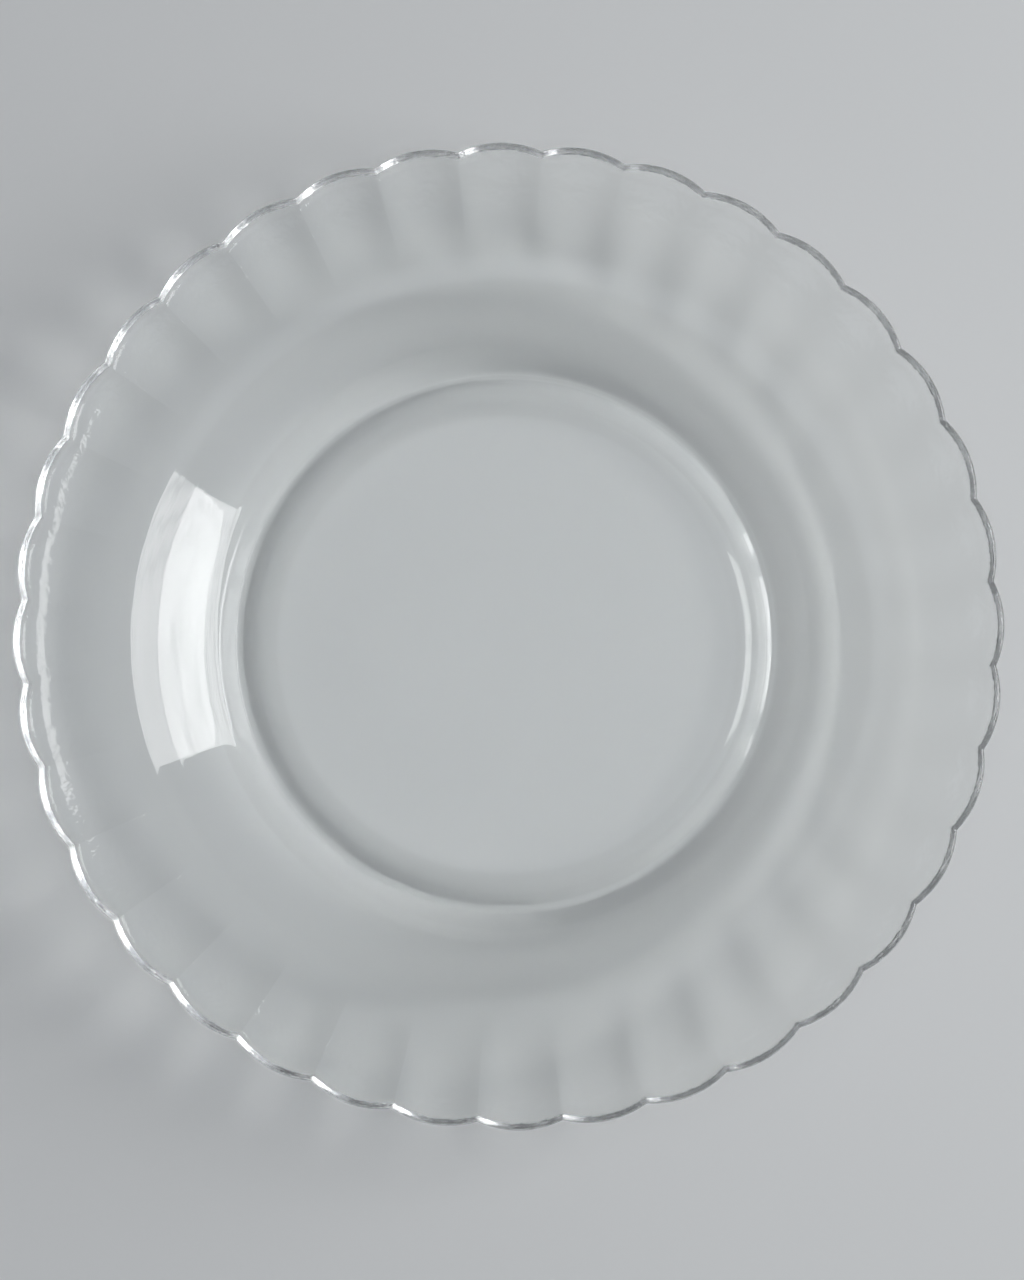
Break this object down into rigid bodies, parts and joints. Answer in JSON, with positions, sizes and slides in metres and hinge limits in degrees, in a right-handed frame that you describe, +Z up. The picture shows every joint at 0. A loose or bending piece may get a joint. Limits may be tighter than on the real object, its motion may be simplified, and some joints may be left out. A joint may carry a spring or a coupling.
{
  "type": "dessert plate",
  "caption": "Round clear pressed-glass dessert plate: a flat well on a low ring foot, a sloping wall and a fluted rim of petals with a scalloped edge.",
  "frame": {"origin": "centre of the foot's contact ring, on the plane of the table", "axes": "+Z up along the plate's axis of revolution, out of the open side of the well; +X out through the tip of one petal"},
  "size_m": [0.195, 0.195, 0.0222],
  "materials": {
    "glass": "clear, fire-polished, with faint press marks"
  },
  "bodies": {
    "root": {"plate": "glass"}
  },
  "joints": []
}
